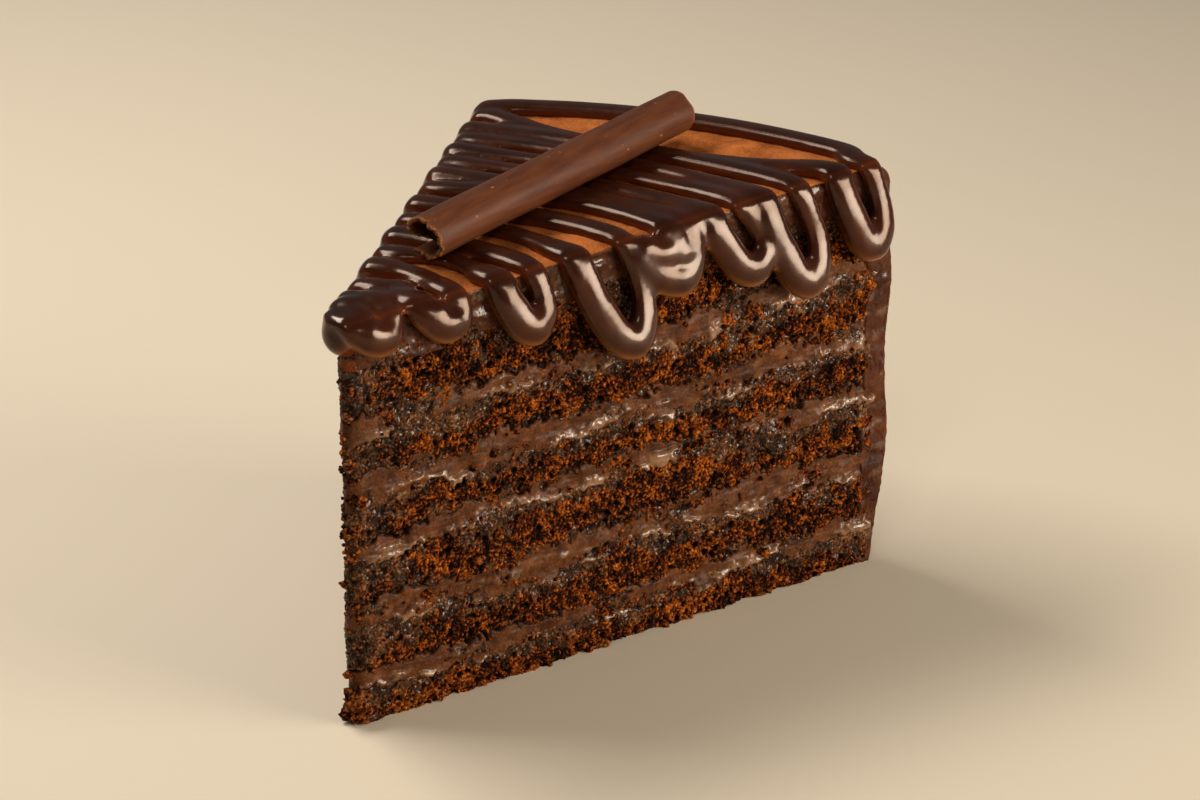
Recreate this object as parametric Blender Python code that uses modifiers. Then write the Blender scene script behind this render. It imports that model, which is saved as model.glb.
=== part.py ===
"""A tall slice of chocolate layer cake: six sponge layers, five fillings, a frosting coat,
a poured chocolate drizzle in a zigzag, and a hollow chocolate roll on top.

Metres, +Z up. The slice's middle line runs along X, from its tip to its rim. It is modelled
with the tip at the origin, and then moved so that the base's centre is the origin.
"""

import math

import bmesh
import bpy
from mathutils import Vector

# Driving dimensions
MM = 0.001
NEAR_LENGTH = 148.0 * MM  # cut face on the -Y side, tip to rim
FAR_LENGTH = 133.0 * MM  # cut face on the +Y side
WEDGE_ANGLE = math.radians(41.3)
TIP_HEIGHT = 90.0 * MM
RIM_HEIGHT = 97.6 * MM
TIP_WIDTH = 5.0 * MM  # the blunt nose of the wedge
NOSE_BULGE = 0.35 * TIP_WIDTH  # how far the nose stands out in its middle
GAP = 0.3 * MM  # between pieces that touch

# Layer thicknesses from the board up, in millimetres at the tip
SPONGES = [7.1, 9.5, 10.2, 7.2, 8.0, 9.9]
FILLINGS = [4.6, 6.7, 4.5, 6.7, 5.4]
LAYER_WAVE = 0.7 * MM  # how far a layer's face leaves its level
WAVE_ALONG = (61.0, 97.0)  # radians a metre of the long waves and the short ones
WAVE_ACROSS = 70.0
WAVE_SHIFTS = (9.0, 23.0)  # each level starts its waves elsewhere
SHORT_WAVE_SHARE = 0.6
FULL_WAVE_SHARE = 8.0  # the waves reach their full height an eighth of the way up

RIM_COAT = 6.0 * MM  # frosting on the outer wall
RIM_ROUNDING = 6.0 * MM
RIM_RIDGE = 0.7 * MM  # broad ridges that the spatula left round the wall
RIM_RIDGE_PITCH = 37.0 * MM
RIM_RIDGE_START = 23.75 * MM  # height where a ridge begins to rise
RIM_FOOT_HEIGHT = 20.0 * MM  # below this the wall draws in
RIM_FOOT_INSET = 4.0 * MM
RIM_FOOT_CURVE = 1.5
RIM_LEVELS = [4, 8, 12, 16, 20, 26, 33, 40, 46, 52, 58, 64, 70, 76, 82, 88, 91.6, 93.8, 95.6, 96.9]
RIM_REACH = 3.0 * MM  # the wall's grid points lie no farther than this from its arc
RIM_SAMPLES = 40  # points of the arc that are looked at
WELD = 0.001 * MM  # points nearer than this are one
CUTTER_MARGIN = 5.0 * MM  # how far cutters stand out beyond what they cut

STRAND_RADIUS = 3.4 * MM
STRAND_LIFT = 0.6 * MM  # the strand's middle above the surface under it
STRAND_BOW = 5.0 * MM  # a pass across the top bows towards the rim by this much
STRAND_STEP = 1.5 * MM  # between the points of its middle line
SKIN_VOXEL = 0.9 * MM  # grain of the skin over strand and blob
SKIN_PASSES = 4  # of smoothing
CROSSING_SHARES = (0.25, 0.5, 0.75)  # a pass has a point at each of these shares of its way
RIM_RUN_SHARES = (0.2, 0.35, 0.5, 0.65, 0.8)
# The drizzle's loops down each cut face, tip first: where the strand goes over the edge, where it comes
# back, and its lowest point, all as distances from the tip, and how far down the lowest point is.
NEAR_LOOPS = [
    (6.0, 15.0, 12.0, 5.0),
    (22.0, 30.5, 28.0, 6.5),
    (41.0, 50.0, 48.5, 12.5),
    (60.0, 74.0, 74.0, 21.5),
    (84.0, 90.0, 87.5, 11.5),
    (95.5, 105.5, 106.5, 14.5),
    (110.0, 121.5, 121.5, 21.0),
    (131.0, 140.5, 139.5, 18.0),
]
FAR_LOOPS = [
    (14.0, 24.0, 18.0, 10.0),
    (33.0, 41.0, 38.0, 15.0),
    (50.0, 59.0, 55.0, 19.0),
    (68.0, 78.0, 74.0, 13.0),
    (86.0, 93.0, 90.0, 22.0),
    (101.0, 108.0, 105.0, 16.0),
    (116.0, 127.0, 121.0, 20.0),
]
# A loop's points on its way down and up: share of the distance along the edge, and share of its drop
LOOP_DOWN = [(0.1, 0.12), (0.45, 0.55), (0.9, 0.95)]
LOOP_UP = [(0.1, 0.95), (0.5, 0.55), (1.0, 0.12)]
LOOP_FROM_EDGE = 3.0 * MM  # a loop joins its pass over the top this far from the edge
TIP_BLOB = (6.0 * MM, 5.2 * MM, 6.0 * MM)  # half sizes of the blob over the nose, where the drizzle starts
TIP_BLOB_PLACE = (9.0 * MM, 0.0, 88.5 * MM)
RIM_RUN_INSET = 7.5 * MM  # the last pass follows the rim at this distance
LAST_CORNER = 5.0 * MM  # and ends this far from the far corner

# Middles of the roll's two ends in plan
ROLL_NEAR_END = (34.1 * MM, 2.7 * MM)
ROLL_FAR_END = (125.1 * MM, -3.9 * MM)
ROLL_RADIUS = 5.5 * MM
ROLL_WALL = 0.9 * MM
ROLL_TURNS = 1.7
ROLL_TURN_GAP = 0.5 * MM
ROLL_EDGE_ANGLE = math.radians(-50)  # the sheet's outer edge lies low on the far side
ROLL_BREAK = 1.6 * MM  # depth of the broken edge at its ends
ROLL_BREAK_REACH = 8  # the higher, the nearer to its ends the break stays
ROLL_BREAK_WAVES = (3.0, 1.3)  # the break's teeth for each turn round the roll
ROLL_STEPS = (32, 6)  # grid points round the spiral and along it

HALF_ANGLE = WEDGE_ANGLE / 2
TOP_RISE = (RIM_HEIGHT - TIP_HEIGHT) / (NEAR_LENGTH * math.cos(HALF_ANGLE))
TOTAL_THICKNESS = TIP_HEIGHT / MM
DRIZZLE_SHARE = 0.045  # of the fine skin's triangles that are kept

COLOURS = {
    "sponge": ((0.13, 0.045, 0.018), 0.9),
    "filling": ((0.10, 0.045, 0.025), 0.45),
    "frosting": ((0.15, 0.065, 0.033), 0.55),
    "drizzle": ((0.035, 0.012, 0.007), 0.12),
    "roll": ((0.08, 0.033, 0.018), 0.4),
}


def clear_scene():
    for thing in list(bpy.data.objects):
        bpy.data.objects.remove(thing)


def new_collection(name):
    made = bpy.data.collections.new(name)
    bpy.context.scene.collection.children.link(made)
    return made


def new_material(name):
    colour, roughness = COLOURS[name]
    made = bpy.data.materials.new(name)
    made.use_nodes = True
    shader = made.node_tree.nodes["Principled BSDF"]
    shader.inputs["Base Color"].default_value = (*colour, 1)
    shader.inputs["Roughness"].default_value = roughness
    shader.inputs["Metallic"].default_value = 0
    return made


def add_object(name, mesh, collection, material=None):
    made = bpy.data.objects.new(name, mesh)
    collection.objects.link(made)
    if material:
        mesh.materials.append(material)
    return made


def as_cutter(thing):
    thing.hide_render = True
    thing.display_type = "WIRE"
    return thing


# The plan and the heights


def edge_point(length, side):
    """A point on a cut face's plan line. side is -1 on the near face and 1 on the far one."""
    return Vector((length * math.cos(HALF_ANGLE), side * length * math.sin(HALF_ANGLE)))


def rim_point(t, inset):
    """The rim's arc from the near corner, t = 0, to the far one, t = 1, drawn in by inset."""
    near, far = edge_point(NEAR_LENGTH, -1), edge_point(FAR_LENGTH, 1)
    half_chord = (far - near).length / 2
    out = Vector((far.y - near.y, near.x - far.x)).normalized()
    drop = math.sqrt(NEAR_LENGTH**2 - half_chord**2)
    centre = (near + far) / 2 - out * drop
    sweep = math.asin(half_chord / NEAR_LENGTH)
    turn = math.atan2(out.y, out.x) + (2 * t - 1) * sweep
    on_arc = centre + Vector((math.cos(turn), math.sin(turn))) * NEAR_LENGTH
    return on_arc * (1 - inset / on_arc.length)


def plan_point(s, t, inset=0.0, growth=0.0):
    """s runs from the nose, 0, to the rim, 1, and t from the near face, 0, to the far one, 1.

    inset draws the rim in, and growth moves the nose and both cut faces outwards.
    """
    across = 2 * t - 1
    nose = TIP_WIDTH / (2 * math.sin(HALF_ANGLE))
    tip = edge_point(nose, -1).lerp(edge_point(nose, 1), t)
    tip += Vector((-NOSE_BULGE * (1 - across**2) - growth, growth * across))
    arc = NEAR_LENGTH * WEDGE_ANGLE
    return tip.lerp(rim_point(t + across * growth / arc, inset), s)


def top_height(x):
    """The frosting's top, which rises a little from the tip to the rim."""
    return TIP_HEIGHT + TOP_RISE * x


def level_height(level, x, y):
    """The face between two layers: level is its height at the tip, as a share of the whole."""
    long_wave = math.sin(WAVE_ALONG[0] * x + WAVE_SHIFTS[0] * level)
    short_wave = math.sin(WAVE_ALONG[1] * x - WAVE_ACROSS * y + WAVE_SHIFTS[1] * level)
    fade = min(1.0, level * FULL_WAVE_SHARE)
    return level * top_height(x) + LAYER_WAVE * fade * (long_wave + SHORT_WAVE_SHARE * short_wave)


def rim_shift(z):
    """How far the outer wall stands out at height z: spatula ridges, a drawn-in foot and a round top edge."""
    shift = RIM_RIDGE * math.sin(2 * math.pi * (z - RIM_RIDGE_START) / RIM_RIDGE_PITCH)
    if z < RIM_FOOT_HEIGHT:
        shift -= RIM_FOOT_INSET * (1 - z / RIM_FOOT_HEIGHT) ** RIM_FOOT_CURVE
    over = z - (RIM_HEIGHT - RIM_ROUNDING)
    if over > 0:
        shift -= RIM_ROUNDING - math.sqrt(max(0.0, RIM_ROUNDING**2 - over**2))
    return shift


# Slabs of the wedge's plan


def wedge_slab(name, floor, ceiling, inset=0.0, growth=0.0, steps=(12, 5)):
    """A solid over the wedge's plan between two height functions, extruded from a grid."""
    shape = bmesh.new()
    bmesh.ops.create_grid(shape, x_segments=steps[0], y_segments=steps[1], size=0.5)
    for vert in shape.verts:
        s, t = vert.co.x + 0.5, vert.co.y + 0.5
        plan = plan_point(s, t, inset, growth)
        vert.co = (plan.x, plan.y, floor(plan.x, plan.y))
    grown = bmesh.ops.extrude_face_region(shape, geom=shape.faces[:])
    for vert in [part for part in grown["geom"] if isinstance(part, bmesh.types.BMVert)]:
        vert.co.z = ceiling(vert.co.x, vert.co.y)
    bmesh.ops.recalc_face_normals(shape, faces=shape.faces[:])
    mesh = bpy.data.meshes.new(name)
    shape.to_mesh(mesh)
    shape.free()
    return mesh


def shape_rim_wall(mesh):
    """Cuts the outer wall into levels and moves them to the ridged profile."""
    shape = bmesh.new()
    shape.from_mesh(mesh)
    for level in RIM_LEVELS:
        bmesh.ops.bisect_plane(
            shape, geom=shape.verts[:] + shape.edges[:] + shape.faces[:],
            plane_co=(0, 0, level * MM), plane_no=(0, 0, 1), dist=WELD,
        )
    for vert in shape.verts:
        plan = Vector((vert.co.x, vert.co.y))
        if on_rim(plan):
            plan *= 1 + rim_shift(vert.co.z) / plan.length
            vert.co = (plan.x, plan.y, min(vert.co.z, top_height(plan.x)))
    bmesh.ops.recalc_face_normals(shape, faces=shape.faces[:])
    shape.to_mesh(mesh)
    shape.free()


def on_rim(plan):
    """Whether a plan point lies on the outer arc, which is a chord between the grid's rim points."""
    nearest = min((plan - rim_point(t / RIM_SAMPLES, 0.0)).length for t in range(RIM_SAMPLES + 1))
    return nearest < RIM_REACH


def cut_away(thing, cutter):
    modifier = thing.modifiers.new("cut", "BOOLEAN")
    modifier.operation = "DIFFERENCE"
    modifier.solver = "EXACT"
    modifier.object = cutter


def build_layers(parts, materials):
    """The sponges and fillings between them, from the board up."""
    thicknesses = [SPONGES[0]]
    for filling, sponge in zip(FILLINGS, SPONGES[1:]):
        thicknesses += [filling, sponge]
    base = 0.0
    for index, thickness in enumerate(thicknesses):
        low, high = base / TOTAL_THICKNESS, (base + thickness) / TOTAL_THICKNESS
        kind = "filling" if index % 2 else "sponge"
        lift = GAP / 2 if index else 0.0
        mesh = wedge_slab(
            f"{kind}_{index // 2 + 1}",
            lambda x, y, a=low, b=lift: level_height(a, x, y) + b,
            lambda x, y, a=high: level_height(a, x, y) - GAP / 2,
            inset=RIM_COAT,
        )
        add_object(mesh.name, mesh, parts, materials[kind])
        base += thickness
    return base / TOTAL_THICKNESS


def build_frosting(parts, cutters, materials, top_level):
    """One coat over the top and down the outer wall: the whole slice less the layers inside it."""
    coat = wedge_slab("frosting", lambda x, y: 0.0, lambda x, y: top_height(x), steps=(12, 10))
    shape_rim_wall(coat)
    whole = add_object("frosting", coat, parts, materials["frosting"])
    core = wedge_slab(
        "core_cutter",
        lambda x, y: -CUTTER_MARGIN,
        lambda x, y: level_height(top_level, x, y) + GAP / 2,
        inset=RIM_COAT - GAP,
        growth=CUTTER_MARGIN,
        steps=(24, 10),
    )
    cut_away(whole, as_cutter(add_object("core_cutter", core, cutters)))
    return whole


# The drizzle


def over_edge(length, side, drop):
    """A point of the strand's middle line by a cut face. A negative drop is a distance inwards."""
    edge = edge_point(length, side)
    out = Vector((-math.sin(HALF_ANGLE), side * math.cos(HALF_ANGLE)))
    away = STRAND_LIFT if drop > 0 else drop
    down = drop if drop > 0 else -STRAND_LIFT
    plan = edge + out * away
    return Vector((plan.x, plan.y, top_height(edge.x) - down))


def loop_points(loop, side):
    """A hanging loop of the strand, from one crossing of the edge to the next."""
    start, end, lowest, drop = (value * MM for value in loop)
    points = [over_edge(start, side, -LOOP_FROM_EDGE)]
    points += [over_edge(start + (lowest - start) * along, side, drop * down) for along, down in LOOP_DOWN]
    points += [over_edge(lowest + (end - lowest) * along + STRAND_RADIUS * (1 - along), side, drop * down)
               for along, down in LOOP_UP]
    return points + [over_edge(end, side, -LOOP_FROM_EDGE)]


def crossing_points(start, end):
    """The strand's way over the top between two edges, bowed towards the rim."""
    points = []
    for share in CROSSING_SHARES:
        point = start.lerp(end, share)
        point.x += STRAND_BOW * 4 * share * (1 - share)
        point.z = top_height(point.x) + STRAND_LIFT
        points.append(point)
    return points


def drizzle_points():
    """Every point of the zigzag, from the nose to the rim."""
    points = [Vector((TIP_BLOB_PLACE[0], 0, top_height(0) + STRAND_LIFT))]
    for index, near in enumerate(NEAR_LOOPS):
        loop = loop_points(near, -1)
        points += crossing_points(points[-1], loop[0]) if index else []
        points += loop
        if index < len(FAR_LOOPS):
            loop = loop_points(FAR_LOOPS[index], 1)
            points += crossing_points(points[-1], loop[0]) + loop
    return points + rim_run() + [over_edge(FAR_LENGTH - LAST_CORNER, 1, -LOOP_FROM_EDGE)]


def rim_run():
    """The last pass, which follows the rim's arc a little inside the edge."""
    points = []
    for share in RIM_RUN_SHARES:
        plan = rim_point(share, RIM_RUN_INSET)
        points.append(Vector((plan.x, plan.y, top_height(plan.x) + STRAND_LIFT)))
    return points


def smooth_line(points, step):
    """Points about a step apart on a Catmull-Rom curve through the given ones."""
    line = []
    for i in range(len(points) - 1):
        a, b = points[max(i - 1, 0)], points[i]
        c, d = points[i + 1], points[min(i + 2, len(points) - 1)]
        count = max(1, round((c - b).length / step))
        for k in range(count):
            u = k / count
            line.append(
                0.5 * (2 * b + (c - a) * u + (2 * a - 5 * b + 4 * c - d) * u**2
                       + (3 * b - a - 3 * c + d) * u**3)
            )
    return line + [points[-1]]


def strand_mesh(name, line, radius):
    """A capped tube along a line, as a mesh."""
    curve = bpy.data.curves.new(name, "CURVE")
    curve.dimensions = "3D"
    curve.bevel_depth = radius
    curve.bevel_resolution = 2
    curve.use_fill_caps = True
    spline = curve.splines.new("POLY")
    spline.points.add(len(line) - 1)
    for point, place in zip(spline.points, line):
        point.co = (*place, 1)
    guide = bpy.data.objects.new(name, curve)
    bpy.context.scene.collection.objects.link(guide)
    bpy.context.view_layer.update()
    evaluated = guide.evaluated_get(bpy.context.evaluated_depsgraph_get())
    mesh = bpy.data.meshes.new_from_object(evaluated)
    bpy.data.objects.remove(guide)
    return mesh


def add_ball(shape, centre, size):
    """A squashed ball in an open bmesh."""
    made = bmesh.ops.create_uvsphere(shape, u_segments=16, v_segments=10, radius=1)
    for vert in made["verts"]:
        vert.co = Vector(centre) + Vector([c * s for c, s in zip(vert.co, size)])


def build_drizzle(parts, cutters, materials):
    """The strand and the blob over the nose flow into one skin, which the cake's outside then cuts flat."""
    mesh = strand_mesh("drizzle", smooth_line(drizzle_points(), STRAND_STEP), STRAND_RADIUS)
    mesh.materials.clear()
    shape = bmesh.new()
    shape.from_mesh(mesh)
    bmesh.ops.remove_doubles(shape, verts=shape.verts[:], dist=WELD)
    add_ball(shape, TIP_BLOB_PLACE, TIP_BLOB)
    shape.to_mesh(mesh)
    shape.free()
    drizzle = add_object("drizzle", mesh, parts, materials["drizzle"])
    skin = drizzle.modifiers.new("skin", "REMESH")
    skin.mode = "VOXEL"
    skin.voxel_size = SKIN_VOXEL
    soften = drizzle.modifiers.new("soften", "SMOOTH")
    soften.iterations = SKIN_PASSES
    fewer = drizzle.modifiers.new("fewer", "DECIMATE")
    fewer.ratio = DRIZZLE_SHARE
    body = wedge_slab(
        "body_cutter", lambda x, y: -CUTTER_MARGIN, lambda x, y: top_height(x) + GAP,
        inset=-GAP - RIM_RIDGE, growth=GAP, steps=(12, 10),
    )
    cut_away(drizzle, as_cutter(add_object("body_cutter", body, cutters)))
    return drizzle


# The chocolate roll


def roll_end(plan):
    """The middle of one of the roll's ends, which lies on the strands."""
    x, y = plan
    return Vector((x, y, top_height(x) + STRAND_LIFT + STRAND_RADIUS + GAP + ROLL_RADIUS))


def build_roll(parts, materials):
    """A thin sheet with broken ends, rolled up on itself: a grid wound into a spiral."""
    near, far = roll_end(ROLL_NEAR_END), roll_end(ROLL_FAR_END)
    length = (far - near).length
    ahead = (far - near).normalized()
    aside = Vector((0, 0, 1)).cross(ahead).normalized()
    upward = ahead.cross(aside)
    pitch = ROLL_WALL + ROLL_TURN_GAP
    shape = bmesh.new()
    bmesh.ops.create_grid(shape, x_segments=ROLL_STEPS[0], y_segments=ROLL_STEPS[1], size=0.5)
    for vert in shape.verts:
        share, run = vert.co.x + 0.5, vert.co.y + 0.5
        unwound = ROLL_TURNS * (1 - share)
        radius = ROLL_RADIUS - ROLL_WALL / 2 - pitch * unwound
        angle = ROLL_EDGE_ANGLE - 2 * math.pi * unwound
        ragged = (1 + math.sin(ROLL_BREAK_WAVES[0] * angle) * math.cos(ROLL_BREAK_WAVES[1] * angle)) / 2
        broken = ROLL_BREAK * ragged * (2 * run - 1) ** ROLL_BREAK_REACH
        along = length * run + (broken if run < 0.5 else -broken)
        vert.co = near + ahead * along + (aside * math.cos(angle) + upward * math.sin(angle)) * radius
    bmesh.ops.recalc_face_normals(shape, faces=shape.faces[:])
    mesh = bpy.data.meshes.new("chocolate_roll")
    shape.to_mesh(mesh)
    shape.free()
    mesh.shade_smooth()
    roll = add_object("chocolate_roll", mesh, parts, materials["roll"])
    wall = roll.modifiers.new("wall", "SOLIDIFY")
    wall.thickness = ROLL_WALL
    wall.offset = 0
    return roll


def centre_on_base(things):
    """Moves everything so that the centre of the base of the whole slice's box is the origin."""
    bpy.context.view_layer.update()
    graph = bpy.context.evaluated_depsgraph_get()
    corners = []
    for thing in things:
        if not thing.hide_render:
            corners += [thing.evaluated_get(graph).matrix_world @ Vector(c)
                        for c in thing.evaluated_get(graph).bound_box]
    middle_x = (min(c.x for c in corners) + max(c.x for c in corners)) / 2
    middle_y = (min(c.y for c in corners) + max(c.y for c in corners)) / 2
    for thing in things:
        thing.location = (-middle_x, -middle_y, 0)


def main():
    clear_scene()
    parts = new_collection("chocolate_cake_slice")
    cutters = new_collection("cutters")
    materials = {name: new_material(name) for name in COLOURS}
    top_level = build_layers(parts, materials)
    build_frosting(parts, cutters, materials, top_level)
    build_drizzle(parts, cutters, materials)
    build_roll(parts, materials)
    centre_on_base(list(parts.objects) + list(cutters.objects))


main()
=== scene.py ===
# A slice of chocolate layer cake: crumb, cream, spread frosting, poured ganache and a chocolate roll.
# Shapes are worked out in millimetres from the point where the two cut faces would meet, x along the
# slice's middle line towards the rim, and are put in the frame, in metres, as the last step.
import bpy
import numpy as np
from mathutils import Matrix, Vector


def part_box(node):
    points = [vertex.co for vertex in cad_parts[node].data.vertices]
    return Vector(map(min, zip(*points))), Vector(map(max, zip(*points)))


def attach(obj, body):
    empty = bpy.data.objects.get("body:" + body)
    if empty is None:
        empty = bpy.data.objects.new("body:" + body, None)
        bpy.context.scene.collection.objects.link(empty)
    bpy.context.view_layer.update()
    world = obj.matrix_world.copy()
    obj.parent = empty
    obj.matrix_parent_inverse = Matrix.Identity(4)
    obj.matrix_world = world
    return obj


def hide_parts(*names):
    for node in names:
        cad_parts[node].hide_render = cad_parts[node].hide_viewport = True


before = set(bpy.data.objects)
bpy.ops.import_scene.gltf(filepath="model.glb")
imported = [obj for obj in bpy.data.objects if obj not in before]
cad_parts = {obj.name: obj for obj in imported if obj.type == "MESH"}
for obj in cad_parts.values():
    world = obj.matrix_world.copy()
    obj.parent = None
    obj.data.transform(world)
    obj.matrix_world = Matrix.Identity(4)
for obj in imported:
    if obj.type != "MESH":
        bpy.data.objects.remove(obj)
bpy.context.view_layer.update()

cake = {
    "halfAngle": np.radians(20.65),  # half the wedge's angle
    "nearLength": 148.0,
    "farLength": 133.0,
    "tipHeight": 90.0,
    "rimHeight": 97.6,
    "noseWidth": 5.0,  # the blunt tip
    "noseRound": 1.75,
    "rimCoat": 6.0,  # frosting on the outer wall
    "sponges": [7.1, 9.5, 10.2, 7.2, 8.0, 9.9],  # thicknesses at the tip, from the board up
    "fillings": [4.6, 6.7, 4.5, 6.7, 5.4],
    "layerWave": 0.7,
    # the joins' waves: share of that height, and radians for each millimetre out and across and each level
    "waves": [(1.0, 0.061, 0.0, 9.0), (0.6, 0.097, -0.07, 23.0)],
}
cosHalf = np.cos(cake["halfAngle"])
sinHalf = np.sin(cake["halfAngle"])
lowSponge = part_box("sponge_1")[0]
noseX = cake["noseWidth"] / 2 / np.tan(cake["halfAngle"]) - cake["noseRound"]
tipPoint = np.array([
    lowSponge.x - noseX * 0.001,
    lowSponge.y + (cake["nearLength"] - cake["rimCoat"]) * sinHalf * 0.001,
    0.0,
])


def inFrame(points):  # millimetres from the tip to metres in the frame
    return points * 0.001 + tipPoint


def fromFrame(points):  # and back
    return (points - tipPoint) * 1000


# noise
def unit(vectors):
    return vectors / np.maximum(np.linalg.norm(vectors, axis=-1, keepdims=True), 1e-6)


noiseDice = np.random.default_rng(41)
directions = unit(noiseDice.normal(size=(4096, 3)).astype(np.float32))
spots = noiseDice.random((4096, 3)).astype(np.float32)
tones = noiseDice.random(4096).astype(np.float32)


def cellNumber(cell, seed):  # a repeatable number from 0 to 4095 for each whole-number cell
    x, y, z = (cell[..., i].astype(np.uint32) for i in range(3))
    mixed = x * np.uint32(73856093) ^ y * np.uint32(19349663) ^ z * np.uint32(83492791)
    mixed ^= np.uint32(seed * 7919 + 13)
    mixed = (mixed ^ (mixed >> np.uint32(15))) * np.uint32(2246822519)
    mixed = (mixed ^ (mixed >> np.uint32(13))) * np.uint32(3266489917)
    return (mixed ^ (mixed >> np.uint32(16))) & np.uint32(4095)


def ripple(points, size, seed=0):
    # gradient noise, about -1 to 1: each cell corner's random slope, blended by smooth weights
    scaled = points / size
    base = np.floor(scaled)
    inside = (scaled - base).astype(np.float32)
    base = base.astype(np.int64)
    blend = inside**3 * (inside * (inside * 6 - 15) + 10)
    total = np.zeros(points.shape[:-1], np.float32)
    for corner in np.ndindex(2, 2, 2):
        offset = np.array(corner)
        slope = directions[cellNumber(base + offset, seed)]
        weight = np.prod(np.where(offset, blend, 1 - blend), axis=-1)
        total += weight * np.sum(slope * (inside - offset), axis=-1)
    return total * 1.8


def pebbles(points, size, seed=0):
    # for every point, how far its nearest scattered spot is, the next nearest, and that spot's own tone
    scaled = points / size
    base = np.floor(scaled).astype(np.int64)
    shape = points.shape[:-1]
    nearest, second = np.full(shape, 9.0, np.float32), np.full(shape, 9.0, np.float32)
    tone = np.zeros(shape, np.float32)
    for step in np.ndindex(3, 3, 3):
        cell = base + np.array(step) - 1
        number = cellNumber(cell, seed)
        away = (cell + spots[number] - scaled).astype(np.float32)
        distance = np.sqrt(np.sum(away * away, axis=-1))
        closer = distance < nearest
        second = np.where(closer, nearest, np.minimum(second, distance))
        tone = np.where(closer, tones[number], tone)
        nearest = np.where(closer, distance, nearest)
    return nearest, second, tone


def ease(low, high, value):  # 0 below low, 1 above high, smooth between
    t = np.clip((value - low) / (high - low), 0, 1)
    return t * t * (3 - 2 * t)


# plan and heights
topRise = (cake["rimHeight"] - cake["tipHeight"]) / (cake["nearLength"] * cosHalf)


def topHeight(x):
    return cake["tipHeight"] + topRise * x


def levelHeight(level, x, y):
    # the face between two layers lies at a share of the height, and above the base it waves a little
    wave = sum(share * np.sin(out * x + across * y + up * level) for share, out, across, up in cake["waves"])
    return level * topHeight(x) + cake["layerWave"] * min(1.0, 8 * level) * wave


def edgePlan(length, side):
    return np.stack([length * cosHalf, side * length * sinHalf], -1)


def rimPlan(t, inset):
    # the rim's arc from the near corner, t = 0, to the far one, t = 1
    near = edgePlan(np.array(cake["nearLength"]), -1)
    far = edgePlan(np.array(cake["farLength"]), 1)
    halfChord = np.linalg.norm(far - near) / 2
    out = np.array([far[1] - near[1], near[0] - far[0]]) / (2 * halfChord)
    centre = (near + far) / 2 - out * np.sqrt(cake["nearLength"] ** 2 - halfChord**2)
    turn = np.arctan2(out[1], out[0]) + (2 * t - 1) * np.arcsin(halfChord / cake["nearLength"])
    onArc = centre + cake["nearLength"] * np.stack([np.cos(turn), np.sin(turn)], -1)
    reach = np.linalg.norm(onArc, axis=-1, keepdims=True)
    return onArc * (1 - inset / reach)


def nosePlan(t):
    # the blunt tip bulges between the near cut face, t = 0, and the far one, t = 1
    nose = cake["noseWidth"] / 2 / sinHalf
    plan = edgePlan(nose, -1) * (1 - t)[..., None] + edgePlan(nose, 1) * t[..., None]
    plan[..., 0] -= cake["noseRound"] * 4 * t * (1 - t)
    return plan


def layerLevels():
    # the joins from the board up, as shares of the height
    heights = np.zeros(len(cake["sponges"]) + len(cake["fillings"]))
    heights[::2], heights[1::2] = cake["sponges"], cake["fillings"]
    return np.append(0, np.cumsum(heights)) / cake["tipHeight"]


# meshes
def addObject(name, data):
    added = bpy.data.objects.new(name, data)
    bpy.context.scene.collection.objects.link(added)
    return added


def storeLooks(mesh, looks):  # one value for each point, for the finish to read
    for label, values in looks.items():
        attribute = mesh.attributes.new(label, "FLOAT", "POINT")
        attribute.data.foreach_set("value", values.astype(np.float32).ravel())


def meshFromFaces(name, points, quads, tris, looks):
    # faces turned outward, and nothing below the board
    corners = points[quads]
    split = np.concatenate([corners[:, [0, 1, 2]], corners[:, [0, 2, 3]], points[tris]])
    if np.sum(split[:, 0] * np.cross(split[:, 1], split[:, 2])) < 0:
        quads, tris = quads[:, ::-1], tris[:, ::-1]
    mesh = bpy.data.meshes.new(name)
    points[:, 2] = np.maximum(points[:, 2], 0.0)
    placed = inFrame(points).astype(np.float32)
    mesh.vertices.add(len(placed))
    mesh.vertices.foreach_set("co", placed.ravel())
    loops = np.concatenate([quads.ravel(), tris.ravel()]).astype(np.int32)
    sizes = np.repeat([4, 3], [len(quads), len(tris)]).astype(np.int32)
    mesh.loops.add(len(loops))
    mesh.loops.foreach_set("vertex_index", loops)
    mesh.polygons.add(len(sizes))
    mesh.polygons.foreach_set("loop_start", (np.cumsum(sizes) - sizes).astype(np.int32))
    mesh.polygons.foreach_set("use_smooth", np.ones(len(sizes), bool))
    mesh.update(calc_edges=True)
    storeLooks(mesh, looks)
    return addObject(name, mesh)


def ringFaces(rows, columns):
    # squares between rows of closed rings, and triangles from the end rings to two points that come after
    index = np.arange(rows * columns).reshape(rows, columns)
    following = np.roll(index, -1, axis=1)
    quads = np.stack([index[:-1], following[:-1], following[1:], index[1:]], -1).reshape(-1, 4)
    first, last = rows * columns, rows * columns + 1
    tris = np.concatenate([
        np.stack([following[0], index[0], np.full(columns, first)], -1),
        np.stack([index[-1], following[-1], np.full(columns, last)], -1),
    ])
    return quads, tris


def ballRings(rings, around, poleGap):
    # rings of points on a ball of radius 1, the first and last a small angle from its poles
    up, turn = np.linspace(poleGap, np.pi - poleGap, rings), np.linspace(0, 2 * np.pi, around, endpoint=False)
    return np.stack([np.sin(up)[:, None] * np.cos(turn), np.sin(up)[:, None] * np.sin(turn),
                     np.cos(up)[:, None] * np.ones(around)], -1)


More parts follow.
